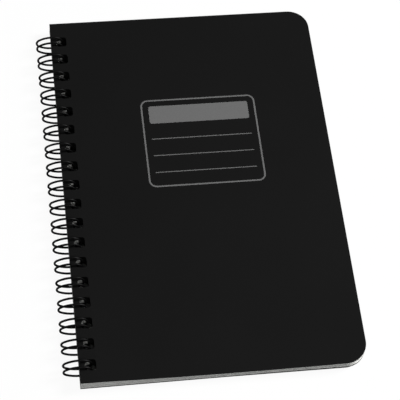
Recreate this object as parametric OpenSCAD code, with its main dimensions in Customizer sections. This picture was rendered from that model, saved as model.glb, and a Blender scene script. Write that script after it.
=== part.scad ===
// Pocket notebook bound along its left side by a twin-loop wire.
// It lies flat and closed, with its front cover up. X runs from the spine to the fore edge, Y from the
// tail edge to the head edge, and Z is up from the surface that the wire and the back cover lie on.

/* [Covers] */
// Width of a cover, from the spine edge to the fore edge
cover_w = 117.5; // [90:0.5:160]
// Height of a cover, from the tail edge to the head edge
cover_h = 177.8; // [120:0.1:250]
// Thickness of the plastic sheet that a cover is cut from
cover_t = 0.6; // [0.4:0.1:1]
// Radius of the two corners at the fore edge
corner_r = 9; // [3:0.5:15]

/* [Pages] */
// Number of sheets in the page block
sheet_count = 32; // [16:1:48]
// Thickness that one sheet takes up in the stack
sheet_t = 0.105; // [0.08:0.005:0.13]

/* [Holes] */
// Distance from the spine edge to the row of hole centres
hole_edge = 4.65; // [4.3:0.05:5.2]
// Distance from one hole centre to the next
hole_pitch = 9.4; // [8:0.1:12]
// Distance from the tail edge to the first hole centre
tail_margin = 7.7; // [6:0.1:12]
// Least distance from the last hole centre to the head edge
head_margin = 9; // [6:0.5:12]
// Width of a hole across the spine
hole_w = 4.5; // [4.3:0.05:4.8]
// Radius of a hole's corners
hole_r = 1.2; // [0.9:0.1:1.3]
// Room in a hole on each side of the pair of strands
hole_play = 0.49; // [0.45:0.01:0.7]

/* [Wire] */
// Diameter of the coated wire
wire_d = 0.92; // [0.7:0.02:1]
// Distance between the two strands of a loop, centre to centre
strand_gap = 3; // [2.6:0.1:3.4]
// Free height between the front cover and the wire over it
play_front = 1.16; // [1:0.02:1.6]
// Free height between the back cover and the wire under it
play_back = 1.36; // [1:0.02:2]
// How far a strand's centre passes the row of hole centres inside the book
wire_past_hole = 0.45; // [0.3:0.05:0.7]
// Length of the flat stretch of a loop over and under the spine edge
loop_flat = 1; // [0.8:0.1:1.4]
// Difference between the two radii of a loop's oval half
oval_step = 6; // [5:0.5:7]
// Bend radius of the wire where one loop passes to the next
root_r = 1; // [0.8:0.1:1.2]
// Gap between the tips of the loops and the roots that they close against
seam_gap = 0.2; // [0.1:0.1:0.5]
// Straight stub of wire left past the last bend at each end
stub_l = 0.8; // [0.5:0.1:1.2]

/* [Hidden] */

// thickness of the pages and of the whole book
block_t = sheet_count * sheet_t;
book_t = block_t + 2 * cover_t;

// length of a hole along the spine, which follows the pair of strands that it holds
hole_l = strand_gap + wire_d + 2 * hole_play;
hole_count = floor((cover_h - tail_margin - head_margin) / hole_pitch) + 1;

// half the height of a loop between wire centres, how far a loop's tip dips below its middle, and the
// height of the middle over the wire's lowest point
loop_h = (book_t + play_front + play_back + wire_d) / 2;
tip_h = 0.8 * loop_h + 0.3 * strand_gap;
loop_z = max(loop_h, tip_h) + wire_d / 2;

// the book inside the loops, from the bottom up
back_z = loop_z - loop_h + wire_d / 2 + play_back;
block_z = back_z + cover_t;
front_z = block_z + block_t;

// the oval half: an end arc and two flatter arcs, which meet along the 3-4-5 directions
end_r = loop_h - 0.2 * oval_step;
flat_r = end_r + oval_step;
// start of the flat stretch, counted from the spine edge, and the reach of a loop past that edge
loop_x = hole_edge + wire_past_hole - loop_h - loop_flat;
loop_reach = 0.6 * oval_step + end_r - loop_x;
// length of the wire from the middle of a loop's underside to the bend of its root
root_run = loop_flat + 0.6 * loop_h - 0.4 * strand_gap - seam_gap - root_r;

// middle of the whole notebook, counted from the spine edge
mid_x = (cover_w - loop_reach - wire_d / 2) / 2;
// how far the cutting wedges reach, well beyond the widest arc
wedge_r = 2 * (flat_r + wire_d);

// Puts the spine edge and tail edge of the book, drawn at x = 0 and y = 0, where they belong.
module in_book(z) {
  translate([-mid_x, -cover_h / 2, z]) children();
}

module at_holes() {
  for (k = [0 : hole_count - 1]) translate([0, tail_margin + k * hole_pitch, 0]) children();
}

module at_strands() {
  at_holes() {
    translate([0, -strand_gap / 2, 0]) children();
    translate([0, strand_gap / 2, 0]) children();
  }
}

// The outline of a punched hole, a rectangle with round corners.
module hole_outline() {
  square([hole_w, hole_l - 2 * hole_r], center = true);
  square([hole_w - 2 * hole_r, hole_l], center = true);
  for (x = [-1, 1], y = [-1, 1])
    translate([x * (hole_w / 2 - hole_r), y * (hole_l / 2 - hole_r)]) circle(r = hole_r, $fn = 48);
}

// A punched sheet or stack of sheets: square at the spine, round at the fore edge.
module leaf(t) {
  difference() {
    union() {
      cube([cover_w - corner_r, cover_h, t]);
      translate([cover_w - corner_r, corner_r, 0]) cube([corner_r, cover_h - 2 * corner_r, t]);
      for (y = [corner_r, cover_h - corner_r])
        translate([cover_w - corner_r, y, 0]) cylinder(r = corner_r, h = t, $fn = 96);
    }
    at_holes() translate([hole_edge, 0, -t / 2]) linear_extrude(height = 2 * t) hole_outline();
  }
}

// A round bend of wire in the xy plane, from the x axis towards the y axis.
module bend(r, angle) {
  rotate_extrude(angle = angle, $fn = 72) translate([r, 0]) circle(d = wire_d, $fn = 24);
}

// A straight run of wire along x.
module run_x(length) {
  rotate([0, 90, 0]) cylinder(d = wire_d, h = length, $fn = 24);
}

// The arcs of all strands round one centre, kept only inside the wedge between the given directions.
module arcs(x, z, r, directions) {
  translate([x, 0, z]) intersection() {
    at_strands() rotate([90, 0, 0]) bend(r, 360);
    translate([0, cover_h, 0]) rotate([90, 0, 0]) linear_extrude(height = cover_h)
      polygon(concat([[0, 0]], wedge_r * directions));
  }
}

// The loops seen from the tail: oval on the side outside the book, half round on the side in the holes.
module strands() {
  down_left = [-0.6, -0.8];
  up_left = [-0.6, 0.8];
  arcs(loop_x, 0.8 * oval_step, flat_r, [[0, -1], down_left]);
  arcs(loop_x - 0.6 * oval_step, 0, end_r, [down_left, [-1, -0.8], [-1, 0.8], up_left]);
  arcs(loop_x, -0.8 * oval_step, flat_r, [up_left, [0, 1]]);
  arcs(loop_x + loop_flat, 0, loop_h, [[0, 1], [1, 1], [1, -0.8], [0.6, -0.8]]);
  at_strands() {
    translate([loop_x, 0, loop_h]) run_x(loop_flat);
    translate([loop_x, 0, -loop_h]) run_x(root_run);
  }
}

// The closed tip of a loop, a half turn that lies along the loop's own tangent.
module tip() {
  multmatrix([[0.8, 0, -0.6, loop_x + loop_flat + 0.6 * loop_h],
              [0, 1, 0, 0],
              [0.6, 0, 0.8, -0.8 * loop_h],
              [0, 0, 0, 1]])
    rotate([0, 0, 90]) bend(strand_gap / 2, 180);
}

// The quarter bend that leads a loop's strand, drawn at y = 0, on to the next loop.
module root_bend() {
  translate([0, root_r, 0]) rotate([0, 0, -90]) bend(root_r, 90);
}

module run_y(length) {
  rotate([-90, 0, 0]) cylinder(d = wire_d, h = length, $fn = 24);
}

// The root between two loops, drawn from the first loop's strand.
module root() {
  root_l = hole_pitch - strand_gap;
  root_bend();
  translate([root_r, root_r, 0]) run_y(root_l - 2 * root_r);
  translate([0, root_l, 0]) mirror([0, 1, 0]) root_bend();
}

// The cut end of the wire.
module stub() {
  root_bend();
  translate([root_r, root_r, 0]) run_y(stub_l);
}

module front_cover() {
  color([0.1, 0.1, 0.1]) in_book(front_z) leaf(cover_t);
}

module page_block() {
  color([0.8, 0.8, 0.77]) in_book(block_z) leaf(block_t);
}

module back_cover() {
  color([0.1, 0.1, 0.1]) in_book(back_z) leaf(cover_t);
}

module wire_binding() {
  root_x = loop_x + root_run;
  first_y = tail_margin - strand_gap / 2;
  last_y = tail_margin + (hole_count - 1) * hole_pitch + strand_gap / 2;
  color([0.05, 0.05, 0.05]) in_book(loop_z) {
    strands();
    at_holes() tip();
    for (k = [0 : hole_count - 2])
      translate([root_x, tail_margin + k * hole_pitch + strand_gap / 2, -loop_h]) root();
    translate([root_x, first_y, -loop_h]) mirror([0, 1, 0]) stub();
    translate([root_x, last_y, -loop_h]) stub();
  }
}

front_cover();
page_block();
back_cover();
wire_binding();
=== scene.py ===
# %% [markdown]
# # A wire-bound notebook
# The real notebook is two sheets of black plastic with a block of paper between them, all punched along
# the left side and held by one long black wire that was bent into pairs of loops. This lesson dresses
# the plain engineering model of it: a wire swept in one piece, loose sheets that lie as paper lies,
# and covers with a moulded grain.
#
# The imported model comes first. It is the fixed frame that every piece is fitted to.

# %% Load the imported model
import math
import random

import bmesh
import bpy
from mathutils import Matrix, Vector


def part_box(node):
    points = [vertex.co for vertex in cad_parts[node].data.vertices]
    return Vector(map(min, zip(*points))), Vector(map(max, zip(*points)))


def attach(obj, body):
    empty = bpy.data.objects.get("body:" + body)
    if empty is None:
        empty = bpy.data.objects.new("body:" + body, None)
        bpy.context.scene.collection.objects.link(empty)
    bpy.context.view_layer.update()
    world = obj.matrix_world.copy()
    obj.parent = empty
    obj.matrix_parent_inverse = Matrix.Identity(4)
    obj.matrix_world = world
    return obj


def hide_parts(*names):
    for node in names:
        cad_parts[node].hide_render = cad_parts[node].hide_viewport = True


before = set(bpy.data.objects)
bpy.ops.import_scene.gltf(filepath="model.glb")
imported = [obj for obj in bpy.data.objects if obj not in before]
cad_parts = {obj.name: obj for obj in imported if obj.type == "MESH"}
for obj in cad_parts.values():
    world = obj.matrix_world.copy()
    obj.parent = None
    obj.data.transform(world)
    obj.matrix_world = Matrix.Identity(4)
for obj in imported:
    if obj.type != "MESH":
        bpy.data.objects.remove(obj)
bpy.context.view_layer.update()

# %% [markdown]
# ## The sizes that everything shares
# The covers and the wire hang together through a few sizes of the binding: the pitch of the holes, how
# far they lie from the spine edge, and how high the loops stand. Blender counts in metres, so each size
# is written in millimetres and multiplied by MM. Where a size can be read from the model, it is.

# %% Name the shared sizes
MM = 0.001
cover_low, cover_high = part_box("front_cover")
back_low, back_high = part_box("back_cover")
SPINE_X, TAIL_Y = cover_low.x, cover_low.y
COVER_W, COVER_H = cover_high.x - cover_low.x, cover_high.y - cover_low.y
COVER_T = cover_high.z - cover_low.z
CORNER_R = 9 * MM
HOLE_W, HOLE_L, HOLE_R = 4.5 * MM, 4.9 * MM, 1.2 * MM
HOLE_EDGE, HOLE_PITCH, HOLE_COUNT = 4.65 * MM, 9.4 * MM, 18
FIRST_HOLE = 7.7 * MM
WIRE_D, STRAND_GAP = 0.92 * MM, 3 * MM
LOOP_H = 4 * MM
LOOP_Z = 4.56 * MM
print("cover in mm:", round(COVER_W / MM, 2), "x", round(COVER_H / MM, 2), "x", round(COVER_T / MM, 2))

# %% [markdown]
# ## The camera
# The photo is a view from above the tail edge, through a long lens. The camera stands 0.75 m away, as a
# product photographer would stand, so that the far edge looks only a little shorter than the near one.
# Its frame is a square, and no shift is needed.

# %% Set the camera
camera_data = bpy.data.cameras.new("camera")
camera_data.sensor_width = 36
camera_data.lens = 151.1
camera_data.clip_start, camera_data.clip_end = 0.05, 20
camera = bpy.data.objects.new("camera", camera_data)
camera.location = (-80.35 * MM, -367.53 * MM, 620.35 * MM)
camera.rotation_euler = [math.radians(a) for a in (30.802, -3.771, -6.611)]
bpy.context.scene.collection.objects.link(camera)
bpy.context.scene.camera = camera
print("camera at", [round(v, 3) for v in camera.location])

# %% [markdown]
# ## Helpers for materials
# A colour picked on a screen is sRGB, while the shader counts in linear light, so one function turns a
# hex value over. A second one adds a node, sets its values and links its inputs in a single line: an
# input that is given a socket is linked, and any other value is set on the socket itself. Short forms of
# it follow for the nodes that every material here uses.

# %% Make the material helpers
def colour(hex_value):
    channels = [int(hex_value[i:i + 2], 16) / 255 for i in (1, 3, 5)]
    return [c / 12.92 if c <= 0.04045 else ((c + 0.055) / 1.055) ** 2.4 for c in channels] + [1]


def add(tree, kind, inputs=None, **settings):
    new = tree.nodes.new(kind)
    for name, value in settings.items():
        setattr(new, name, value)
    for name, value in (inputs or {}).items():
        if isinstance(value, bpy.types.NodeSocket):
            tree.links.new(value, new.inputs[name])
        else:
            new.inputs[name].default_value = value
    return new


def number(tree, operation, *values):
    return add(tree, "ShaderNodeMath", dict(enumerate(values)), operation=operation).outputs[0]


def vector(tree, operation, *values):
    made = add(tree, "ShaderNodeVectorMath", dict(enumerate(values)), operation=operation)
    return made.outputs["Value" if operation == "LENGTH" else "Vector"]


def blend(tree, share, low, high):
    """Mixes two colours, each a hex value or a socket."""
    low, high = [colour(c) if isinstance(c, str) else c for c in (low, high)]
    return add(tree, "ShaderNodeMix", {0: share, 6: low, 7: high}, data_type="RGBA").outputs[2]


def noise(tree, place, size, detail):
    """Noise whose features are about as wide as the given size."""
    inputs = {"Vector": place.outputs["Object"], "Scale": 1 / size, "Detail": detail}
    return add(tree, "ShaderNodeTexNoise", inputs).outputs["Fac"]


def round_reach(tree, from_middle, straight):
    """Distance from a box with the given half sizes, which makes round corners of any radius."""
    spread = vector(tree, "ABSOLUTE", from_middle)
    past = vector(tree, "SUBTRACT", spread, straight)
    return vector(tree, "LENGTH", vector(tree, "MAXIMUM", past, (0, 0, 0)))


def material(name):
    made = bpy.data.materials.new(name)
    made.use_nodes = True
    made.node_tree.nodes.clear()
    return made, made.node_tree


def finish_object(bm, name, made, smooth_below=30):
    """Turns a bmesh into an object with one material, smooth except across edges sharper than the angle."""
    for face in bm.faces:
        face.smooth = True
    for edge in bm.edges:
        edge.smooth = edge.is_manifold and edge.calc_face_angle(0) < math.radians(smooth_below)
    open_edges = sum(1 for e in bm.edges if not e.is_manifold)
    mesh = bpy.data.meshes.new(name)
    bm.to_mesh(mesh)
    bm.free()
    mesh.materials.append(made)
    piece = bpy.data.objects.new(name, mesh)
    bpy.context.scene.collection.objects.link(piece)
    triangles = sum(len(p.vertices) - 2 for p in mesh.polygons)
    print(name, "has", triangles, "triangles and", open_edges, "open edges")
    return piece


# %% [markdown]
# ## The floor and the light
# The photo has a plain white ground. The floor is a matte pale grey, which throws as much light up onto
# the paper's edges as in the photo. The camera's own rays see it white, and mostly as if it shone, so
# the ground reads as white and still keeps a soft shadow beside the book. The book is black, so the
# large soft lamp stands on the right, out of the direction that the covers mirror to the camera. A
# weaker one in front lights the tail edges of the pages and reaches down into the punched holes.

# %% Lay the floor
FLOOR_GLOW = 0.94
GLOW_STARTS = 0.9 * MM  # inwards from the cover's outline
floor_mesh = bpy.data.meshes.new("floor")
floor_bm = bmesh.new()
bmesh.ops.create_grid(floor_bm, x_segments=1, y_segments=1, size=3)
floor_bm.to_mesh(floor_mesh)
floor_bm.free()
floor = bpy.data.objects.new("floor", floor_mesh)
bpy.context.scene.collection.objects.link(floor)
floor_finish, tree = material("pale studio floor")
place = add(tree, "ShaderNodeTexCoord")
# Under the book no glow is wanted: the holes would show it, and the shade along the edges would go.
middle = (SPINE_X + COVER_W / 2, TAIL_Y + COVER_H / 2, 0)
from_middle = vector(tree, "SUBTRACT", place.outputs["Object"], middle)
straight = (COVER_W / 2 - CORNER_R, COVER_H / 2 - CORNER_R, 0)
from_core = round_reach(tree, from_middle, straight)
clear = number(tree, "GREATER_THAN", from_core, CORNER_R - GLOW_STARTS)
ray = add(tree, "ShaderNodeLightPath")
lit = number(tree, "MULTIPLY", clear, ray.outputs["Is Camera Ray"])
share = number(tree, "MULTIPLY", lit, FLOOR_GLOW)
diffuse = add(tree, "ShaderNodeBsdfDiffuse", {"Color": blend(tree, lit, "#c4c4c4", "#ffffff")})
glow = add(tree, "ShaderNodeEmission", {"Color": colour("#ffffff"), "Strength": 1.0})
both = add(tree, "ShaderNodeMixShader", {0: share, 1: diffuse.outputs[0], 2: glow.outputs[0]})
add(tree, "ShaderNodeOutputMaterial", {"Surface": both.outputs[0]})
floor_mesh.materials.append(floor_finish)
print("floor laid")

# %% Hang the lamps
def softbox(name, place, size, watts):
    """A square soft lamp that faces the middle of the book."""
    data = bpy.data.lights.new(name, "AREA")
    data.size = size
    data.energy = watts
    lamp = bpy.data.objects.new(name, data)
    lamp.location = place
    lamp.rotation_euler = (-Vector(place)).to_track_quat("-Z", "Y").to_euler()
    bpy.context.scene.collection.objects.link(lamp)


softbox("key softbox", (1.44, 0.2, 1.22), 0.6, 43)
softbox("fill softbox", (0.1, -1.42, 1.55), 0.3, 8)
world = bpy.data.worlds.new("studio")
world.use_nodes = True
bpy.context.scene.world = world
tree = world.node_tree
tree.nodes.clear()
room = add(tree, "ShaderNodeBackground", {"Color": colour("#ffffff"), "Strength": 0.08})
white = add(tree, "ShaderNodeBackground", {"Color": colour("#ffffff"), "Strength": 1.0})
ray = add(tree, "ShaderNodeLightPath")
seen = add(tree, "ShaderNodeMixShader", {
    0: ray.outputs["Is Camera Ray"], 1: room.outputs[0], 2: white.outputs[0]})
add(tree, "ShaderNodeOutputWorld", {"Surface": seen.outputs[0]})
bpy.context.scene.view_settings.view_transform = "Standard"
print("two softboxes and a dim room")

# %% [markdown]
# ## The wire
# The binding is one steel wire with a black nylon coat. A machine bends it flat into a comb of long
# loops, and closes the comb round the punched holes. A curve with a bevel would do, but its corners would
# have to be placed by hand. A bmesh ring of edges that is spun round each bend's own centre follows the
# real bends exactly, so the wire is made as the machine makes it: bend by bend, in one sweep.

# %% A small wire bender
class Bender:
    """Holds the free end of a wire: a ring of edges, which runs straight or is spun round a centre."""

    def __init__(self, bm, start, sides=16):
        facing_y = Matrix.Translation(start) @ Matrix.Rotation(math.radians(-90), 4, "X")
        ring = bmesh.ops.create_circle(bm, cap_ends=False, segments=sides, radius=WIRE_D / 2,
                                       matrix=facing_y)
        self.bm = bm
        self.edges = list({e for v in ring["verts"] for e in v.link_edges})

    def run(self, x, y, z):
        grown = bmesh.ops.extrude_edge_only(self.bm, edges=self.edges)["geom"]
        verts = [g for g in grown if isinstance(g, bmesh.types.BMVert)]
        bmesh.ops.translate(self.bm, verts=verts, vec=(x, y, z))
        ends = set(verts)
        self.edges = [g for g in grown if isinstance(g, bmesh.types.BMEdge) and set(g.verts) <= ends]

    def turn(self, centre, axis, degrees, steps):
        verts = list({v for e in self.edges for v in e.verts})
        spun = bmesh.ops.spin(self.bm, geom=verts + self.edges, cent=centre, axis=axis,
                              angle=math.radians(degrees), steps=steps, use_merge=False)
        self.edges = [g for g in spun["geom_last"] if isinstance(g, bmesh.types.BMEdge)]

    def end(self):
        verts = {v for e in self.edges for v in e.verts}
        return sum((v.co for v in verts), Vector()) / len(verts)


# %% [markdown]
# Seen from the tail, a loop is oval on the outside of the spine and half round inside the book. The oval
# is three arcs that meet at the 3-4-5 angles, 36.87 and 53.13 degrees. At the closed tip the wire turns
# back on itself, and at the root it passes on to the next loop.

# %% Bend one loop, and repeat it along the spine
OVAL_STEP = 6 * MM
FLAT_RUN, ROOT_RUN, ROOT_R = 1 * MM, 1 * MM, 1 * MM
BEND_X = 0.1 * MM
STEEP, SHALLOW = math.degrees(math.atan2(4, 3)), math.degrees(math.atan2(3, 4))
ACROSS = (0, 1, 0)


def strand(wire, back):
    """One strand from the root to the tip, or from the tip back to the root."""
    y = wire.end().y
    low_bend = ((BEND_X, y, 0.8 * OVAL_STEP), SHALLOW, 4)
    end_bend = ((BEND_X - 0.6 * OVAL_STEP, y, 0), 2 * STEEP, 10)
    high_bend = ((BEND_X, y, -0.8 * OVAL_STEP), SHALLOW, 4)
    inner_bend = ((BEND_X + FLAT_RUN, y, 0), 90 + STEEP, 14)
    if not back:
        wire.run(-ROOT_RUN, 0, 0)
        for centre, degrees, steps in (low_bend, end_bend, high_bend):
            wire.turn(centre, ACROSS, degrees, steps)
        wire.run(FLAT_RUN, 0, 0)
        wire.turn(inner_bend[0], ACROSS, inner_bend[1], inner_bend[2])
    else:
        wire.turn(inner_bend[0], ACROSS, -inner_bend[1], inner_bend[2])
        wire.run(-FLAT_RUN, 0, 0)
        for centre, degrees, steps in (high_bend, end_bend, low_bend):
            wire.turn(centre, ACROSS, -degrees, steps)
        wire.run(ROOT_RUN, 0, 0)


def bend_loop(bm):
    """One whole loop, from the middle of the root before it to the middle of the root after it."""
    root_x = BEND_X + ROOT_RUN
    half_root = (HOLE_PITCH - STRAND_GAP) / 2 - ROOT_R
    wire = Bender(bm, (root_x + ROOT_R, -HOLE_PITCH / 2, -LOOP_H))
    wire.run(0, half_root, 0)
    wire.turn((root_x, -STRAND_GAP / 2 - ROOT_R, -LOOP_H), (0, 0, 1), 90, 5)
    strand(wire, back=False)
    tip_x = BEND_X + FLAT_RUN + 0.6 * LOOP_H
    wire.turn((tip_x, 0, -0.8 * LOOP_H), (0.6, 0, -0.8), 180, 12)
    strand(wire, back=True)
    wire.turn((root_x, STRAND_GAP / 2 + ROOT_R, -LOOP_H), (0, 0, 1), 90, 5)
    wire.run(0, half_root, 0)
    return wire.end()


wire_bm = bmesh.new()
last = bend_loop(wire_bm)
print("a loop starts at y", -HOLE_PITCH / 2 / MM, "and ends at", [round(v / MM, 3) for v in last])
one_loop = wire_bm.verts[:] + wire_bm.edges[:] + wire_bm.faces[:]
for k in range(1, HOLE_COUNT):
    copy = bmesh.ops.duplicate(wire_bm, geom=one_loop)
    moved = [g for g in copy["geom"] if isinstance(g, bmesh.types.BMVert)]
    bmesh.ops.translate(wire_bm, verts=moved, vec=(0, k * HOLE_PITCH, 0))
bmesh.ops.remove_doubles(wire_bm, verts=wire_bm.verts[:], dist=0.01 * MM)
bmesh.ops.translate(wire_bm, verts=wire_bm.verts[:], vec=(SPINE_X, TAIL_Y + FIRST_HOLE, LOOP_Z))
print("wire rings:", len(wire_bm.verts) // 16)

# %% [markdown]
# The wire is cut at both ends just past its last bend. The open ends are the only open edges of the
# sweep, so they are found by that, moved to the length of the stub and closed with a flat face, which
# shows the bare steel inside the coat.

# %% The wire's finishes
wire_black, tree = material("black nylon coat on wire")
place = add(tree, "ShaderNodeTexCoord")
# The coat is dipped on, so its gloss has a faint orange peel about half a millimetre wide.
peel = noise(tree, place, 0.5 * MM, 2.0)
bump = add(tree, "ShaderNodeBump", {"Height": peel, "Strength": 0.25, "Distance": 0.02 * MM})
rough = add(tree, "ShaderNodeMapRange", {"Value": peel, "To Min": 0.42, "To Max": 0.52})
coat = add(tree, "ShaderNodeBsdfPrincipled", {
    "Base Color": colour("#050505"), "Roughness": rough.outputs[0], "IOR": 1.5,
    "Specular IOR Level": 0.14, "Normal": bump.outputs[0]})
add(tree, "ShaderNodeOutputMaterial", {"Surface": coat.outputs[0]})

cut_steel, tree = material("cut steel of the wire's ends")
place = add(tree, "ShaderNodeTexCoord")
# The cutter leaves fine parallel scratches across the end.
marks = noise(tree, place, 0.08 * MM, 1.0)
shade = add(tree, "ShaderNodeMapRange", {"Value": marks, "To Min": 0.3, "To Max": 0.5})
steel = add(tree, "ShaderNodeBsdfPrincipled", {
    "Base Color": colour("#a7a8a8"), "Metallic": 1.0, "Roughness": shade.outputs[0]})
add(tree, "ShaderNodeOutputMaterial", {"Surface": steel.outputs[0]})

# %% Cut and close the ends of the wire
STUB = 0.8 * MM
spare = (HOLE_PITCH - STRAND_GAP) / 2 - ROOT_R - STUB
middle_y = TAIL_Y + FIRST_HOLE + (HOLE_COUNT - 1) * HOLE_PITCH / 2
open_edges = [e for e in wire_bm.edges if e.is_boundary]
for at_tail in (True, False):
    rim = [e for e in open_edges if (e.verts[0].co.y < middle_y) == at_tail]
    rim_verts = list({v for e in rim for v in e.verts})
    bmesh.ops.translate(wire_bm, verts=rim_verts, vec=(0, spare if at_tail else -spare, 0))
    cap = bmesh.ops.contextual_create(wire_bm, geom=rim)["faces"]
    for face in cap:
        face.material_index = 1
bmesh.ops.recalc_face_normals(wire_bm, faces=wire_bm.faces[:])
wire = finish_object(wire_bm, "bound_wire", wire_black, smooth_below=50)
wire.data.materials.append(cut_steel)
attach(wire, "back")
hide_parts("wire_binding")

# %% [markdown]
# ## How the book lies
# A real notebook isn't a flat block. The loops leave room at the spine, so the sheets fan out there and
# the back cover drops onto the wire, while at the tail the front cover sinks a little between its two
# corners. Both covers and every sheet follow the same two gentle curves, so nothing cuts into anything:
# a point takes its share of each curve by its height in the stack.

# %% Two curves that shape the stack
BACK_TOP, FRONT_BOTTOM = back_high.z, cover_low.z
DROP, SINK = 1.26 * MM, 1.15 * MM
SINK_FROM = 8 * MM


def settle(point):
    """Moves a point of the flat stack to where it lies in the settled one."""
    x, y = point.x - SPINE_X, point.y - TAIL_Y
    share = min(max((point.z - BACK_TOP) / (FRONT_BOTTOM - BACK_TOP), 0), 1)
    drop = DROP * (1 - min(x / COVER_W, 1)) ** 1.4
    u = min(max((x - SINK_FROM) / (COVER_W - SINK_FROM), 0), 1)
    sink = SINK * (4 * u * (1 - u)) ** 0.8 * (1 - y / COVER_H) ** 2
    point.z -= (1 - share) * drop + share * sink


def outline(bm, x, y, width, height, radius, steps, square_at_spine=False):
    """A ring of edges round a rectangle with round corners, drawn from its low corner at x and y."""
    corners = bmesh.ops.create_grid(bm, x_segments=1, y_segments=1, size=0.5)["verts"]
    bmesh.ops.scale(bm, verts=corners, vec=(width, height, 1))
    bmesh.ops.translate(bm, verts=corners, vec=(x + width / 2, y + height / 2, 0))
    if square_at_spine:
        corners = [v for v in corners if v.co.x > x + width / 2]
    bmesh.ops.bevel(bm, geom=corners, offset=radius, offset_type="OFFSET", segments=steps, profile=0.5,
                    affect="VERTICES", material=-1)
    bmesh.ops.delete(bm, geom=bm.faces[:], context="FACES_ONLY")


def punched(bm, inset=0.0, steps=10, hole_steps=5):
    """A flat sheet with the row of holes and two round corners, at z = 0, cut up so that it can bend."""
    width, height = COVER_W - 2 * inset, COVER_H - 2 * inset
    outline(bm, inset, inset, width, height, CORNER_R - inset, steps, square_at_spine=True)
    for k in range(HOLE_COUNT):
        low_y = FIRST_HOLE + k * HOLE_PITCH - HOLE_L / 2
        outline(bm, HOLE_EDGE - HOLE_W / 2, low_y, HOLE_W, HOLE_L, HOLE_R, hole_steps)
    bmesh.ops.triangle_fill(bm, edges=bm.edges[:], use_beauty=True, normal=(0, 0, 1))
    for share in (0.1, 0.2, 0.35, 0.5, 0.65, 0.8, 0.92):
        cut = bm.verts[:] + bm.edges[:] + bm.faces[:]
        bmesh.ops.bisect_plane(bm, geom=cut, plane_co=(share * COVER_W, 0, 0), plane_no=(1, 0, 0))
    for share in (0.12, 0.3, 0.5, 0.75):
        cut = bm.verts[:] + bm.edges[:] + bm.faces[:]
        bmesh.ops.bisect_plane(bm, geom=cut, plane_co=(0, share * COVER_H, 0), plane_no=(0, 1, 0))


def thicken(bm, thickness):
    """Gives a flat sheet its thickness, upwards from z = 0."""
    bmesh.ops.recalc_face_normals(bm, faces=bm.faces[:])
    low = bm.faces[:]
    grown = bmesh.ops.extrude_face_region(bm, geom=low, use_keep_orig=True)["geom"]
    top = [g for g in grown if isinstance(g, bmesh.types.BMVert)]
    bmesh.ops.translate(bm, verts=top, vec=(0, 0, thickness))
    bmesh.ops.recalc_face_normals(bm, faces=bm.faces[:])


trial = bmesh.new()
punched(trial)
print("a flat sheet has", len(trial.faces), "faces")
thicken(trial, COVER_T)
trial_open = sum(1 for e in trial.edges if not e.is_manifold)
print("a thick one has", len(trial.faces), "and", trial_open, "open edges")
trial.free()

# %% [markdown]
# ## The pages
# Each sheet is a closed shell of its own in the stack, thinner than its share of the height, so that thin
# shadow lines part the sheets at the edges and in the punched holes, as on real paper. The sheets are
# knocked up by hand, so each lies a little off its neighbours.

# %% Writing paper
paper, tree = material("uncoated writing paper")
place = add(tree, "ShaderNodeTexCoord")
# Paper fibres give a mottle about a third of a millimetre wide.
fibre = noise(tree, place, 0.35 * MM, 4.0)
tone = blend(tree, fibre, "#e4e4e1", "#f0f0ed")
bump = add(tree, "ShaderNodeBump", {"Height": fibre, "Strength": 0.3, "Distance": 0.03 * MM})
# Each page is ruled with pale grey lines a quarter of an inch apart.
RULE, RULE_W = 6.35 * MM, 0.12 * MM
axes = add(tree, "ShaderNodeSeparateXYZ", {0: place.outputs["Object"]})
normal = add(tree, "ShaderNodeSeparateXYZ", {0: place.outputs["Normal"]})
row = number(tree, "PINGPONG", axes.outputs["Y"], RULE)
line = number(tree, "LESS_THAN", row, RULE_W)
on_page = number(tree, "GREATER_THAN", number(tree, "ABSOLUTE", normal.outputs["Z"]), 0.9)
ruled = blend(tree, number(tree, "MULTIPLY", line, on_page), tone, "#b4b8b8")
# Painted shade: in a thin band round each hole the paper is made near black, towards the top of the stack
# under the front cover and on the fore-edge side of the hole, where the holes' insides lie in shade.
# The row of holes is folded at half its pitch, so that one hole's shape serves for all. The fold would
# put one more hole past each end of the row, so the strips along the head and the tail are left out.
HOLE_SHADE_W, END_STRIP = 0.15 * MM, 4 * MM
first = (SPINE_X + HOLE_EDGE, TAIL_Y + FIRST_HOLE, 0)
parts = add(tree, "ShaderNodeSeparateXYZ", {0: vector(tree, "SUBTRACT", place.outputs["Object"], first)})
along = number(tree, "PINGPONG", parts.outputs["Y"], HOLE_PITCH / 2)
folded = add(tree, "ShaderNodeCombineXYZ", {"X": parts.outputs["X"], "Y": along})
straight = (HOLE_W / 2 - HOLE_R, HOLE_L / 2 - HOLE_R, 0)
from_core = round_reach(tree, folded.outputs[0], straight)
rim = number(tree, "LESS_THAN", from_core, HOLE_R + HOLE_SHADE_W)
from_centre = number(tree, "ABSOLUTE", axes.outputs["Y"])
in_holes = number(tree, "LESS_THAN", from_centre, COVER_H / 2 - END_STRIP)
# Painted shade that grows towards the top of the stack, under the front cover.
shade_under_cover = add(tree, "ShaderNodeMapRange", {
    "Value": axes.outputs["Z"], "From Min": 4.0 * MM, "From Max": 4.6 * MM})
# Painted shade on the fore-edge side of each hole.
shade_on_fore_side = add(tree, "ShaderNodeMapRange", {
    "Value": parts.outputs["X"], "From Min": -0.6 * MM, "From Max": 0})
black = number(tree, "MAXIMUM", shade_under_cover.outputs[0], shade_on_fore_side.outputs[0])
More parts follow.
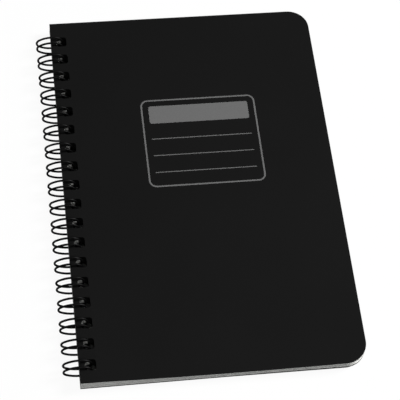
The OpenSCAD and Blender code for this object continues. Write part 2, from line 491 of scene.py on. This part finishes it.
# The painted shade darkens the band round the holes wherever either mask is on, over the paper and its
# ruling.
painted_hole_shade = number(tree, "MULTIPLY", number(tree, "MULTIPLY", rim, in_holes), black)
ruled_and_shaded = blend(tree, painted_hole_shade, ruled, "#101010")
sheet_shader = add(tree, "ShaderNodeBsdfPrincipled", {
    "Base Color": ruled_and_shaded, "Roughness": 0.85, "IOR": 1.45, "Specular IOR Level": 0.1,
    "Normal": bump.outputs[0]})
add(tree, "ShaderNodeOutputMaterial", {"Surface": sheet_shader.outputs[0]})

# %% Stack the sheets
SHEETS = 32
TOP_ROOM = 0.06 * MM  # between the top sheet and the front cover, so that their curved meshes stay apart
SHEET_PITCH = (FRONT_BOTTOM - BACK_TOP - TOP_ROOM) / SHEETS
PAPER_T = 0.085 * MM
PAPER_INSET, LIFT = 0.12 * MM, 0.01 * MM
hand = random.Random(11)
pages_bm = bmesh.new()
punched(pages_bm, inset=PAPER_INSET, steps=8, hole_steps=4)
thicken(pages_bm, PAPER_T)
first_sheet = pages_bm.verts[:] + pages_bm.edges[:] + pages_bm.faces[:]
for k in range(1, SHEETS):
    copy = bmesh.ops.duplicate(pages_bm, geom=first_sheet)
    moved = [g for g in copy["geom"] if isinstance(g, bmesh.types.BMVert)]
    off = (hand.uniform(-0.1, 0.1) * MM, hand.uniform(-0.11, 0.11) * MM, k * SHEET_PITCH)
    bmesh.ops.translate(pages_bm, verts=moved, vec=off)
bmesh.ops.translate(pages_bm, verts=pages_bm.verts[:], vec=(SPINE_X, TAIL_Y, BACK_TOP + LIFT))
for vert in pages_bm.verts:
    settle(vert.co)
pages = finish_object(pages_bm, "page_sheets", paper)
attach(pages, "block")
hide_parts("page_block")

# %% [markdown]
# ## The covers
# Both covers are die-cut from black polypropylene sheet with a fine moulded grain. Polypropylene is a
# satin plastic: it mirrors soft light only as a broad sheen. The front one carries a plain panel to
# write on, screen printed in grey: a frame, a solid heading bar and three lines.

# %% Polypropylene, plain and printed
# Each shape has the x and y of its middle from the spine and the tail edge, half its width and height,
# and its corner radius, in mm.
PANEL_FRAME = (62, 111, 25, 22, 3)
PANEL_BARS = [(62, 125.5, 22, 4.5, 1)] + [(62, y, 22, 0.2, 0.1) for y in (113, 104.5, 96)]
FRAME_LINE = 0.7 * MM


def polypropylene(name, printed_panel):
    made, tree = material(name)
    place = add(tree, "ShaderNodeTexCoord")
    # The roll that the sheet was cast on leaves a pebbled grain, drawn half a millimetre wide.
    pebble = noise(tree, place, 0.45 * MM, 3.0)
    bump = add(tree, "ShaderNodeBump", {"Height": pebble, "Strength": 0.35, "Distance": 0.03 * MM})
    # Handling leaves the sheet a little shinier in wide soft patches.
    wipe = noise(tree, place, 40 * MM, 2.0)
    satin = add(tree, "ShaderNodeMapRange", {"Value": wipe, "To Min": 0.36, "To Max": 0.42})
    base_colour = blend(tree, wipe, "#161616", "#181818")
    if printed_panel:
        # Screen ink is a thin grey layer that lets a little of the grain's dark through.
        ink = blend(tree, pebble, "#666666", "#747474")
        base_colour = blend(tree, panel_mask(tree, place), base_colour, ink)
    shader = add(tree, "ShaderNodeBsdfPrincipled", {
        "Base Color": base_colour, "Roughness": satin.outputs[0], "IOR": 1.49,
        "Specular IOR Level": 0.08, "Normal": bump.outputs[0]})
    add(tree, "ShaderNodeOutputMaterial", {"Surface": shader.outputs[0]})
    return made


def panel_mask(tree, place):
    """1 on the printed panel's lines and 0 elsewhere, on the upper face only."""
    def from_edge(cx, cy, half_w, half_h, radius):
        """Distance from the edge of a rounded rectangle, negative inside it."""
        centre = (SPINE_X + cx * MM, TAIL_Y + cy * MM, 0)
        corner = vector(tree, "ABSOLUTE", vector(tree, "SUBTRACT", place.outputs["Object"], centre))
        level = vector(tree, "MULTIPLY", corner, (1, 1, 0))
        past = vector(tree, "SUBTRACT", level, ((half_w - radius) * MM, (half_h - radius) * MM, 0))
        outside = vector(tree, "LENGTH", vector(tree, "MAXIMUM", past, (0, 0, 0)))
        parts = add(tree, "ShaderNodeSeparateXYZ", {0: past})
        deepest = number(tree, "MAXIMUM", parts.outputs["X"], parts.outputs["Y"])
        inside = number(tree, "MINIMUM", deepest, 0.0)
        return number(tree, "SUBTRACT", number(tree, "ADD", outside, inside), radius * MM)

    frame_edge = number(tree, "ABSOLUTE", from_edge(*PANEL_FRAME))
    total = number(tree, "LESS_THAN", frame_edge, FRAME_LINE / 2)
    for shape in PANEL_BARS:
        bar = number(tree, "LESS_THAN", from_edge(*shape), 0.0)
        total = number(tree, "MAXIMUM", total, bar)
    up = add(tree, "ShaderNodeSeparateXYZ", {0: place.outputs["Normal"]})
    on_top = number(tree, "GREATER_THAN", up.outputs["Z"], 0.7)
    return number(tree, "MULTIPLY", total, on_top)


plain_cover = polypropylene("black polypropylene sheet", False)
printed_cover = polypropylene("black polypropylene sheet with a printed panel", True)

# %% [markdown]
# The die leaves the outline a little rounded, which is what catches the light along it, while the punch
# leaves the holes sharp. So only the outline's rims get a fine bevel, before the sheet is settled.

# %% Cut the covers
EDGE_ROUND = 0.1 * MM


def cover(name, low_z, finish):
    """One settled cover, whose flat sheet starts at the height low_z."""
    bm = bmesh.new()
    punched(bm, steps=16, hole_steps=7)
    thicken(bm, COVER_T)
    sharp = [e for e in bm.edges if e.calc_face_angle(0) > math.radians(80)]
    level = [e for e in sharp if abs(e.verts[0].co.z - e.verts[1].co.z) < 0.1 * MM]
    past_holes = HOLE_W / 2 + 0.1 * MM
    rims = [e for e in level if all(abs(v.co.x - HOLE_EDGE) > past_holes for v in e.verts)]
    bmesh.ops.bevel(bm, geom=rims, offset=EDGE_ROUND, offset_type="OFFSET", segments=2, profile=0.5,
                    affect="EDGES", material=-1)
    bmesh.ops.translate(bm, verts=bm.verts[:], vec=(SPINE_X, TAIL_Y, low_z))
    for vert in bm.verts:
        settle(vert.co)
    return finish_object(bm, name, finish, smooth_below=20)


front = cover("front_sheet", cover_low.z, printed_cover)
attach(front, "front")
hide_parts("front_cover")
back = cover("back_sheet", back_low.z, plain_cover)
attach(back, "back")
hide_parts("back_cover")
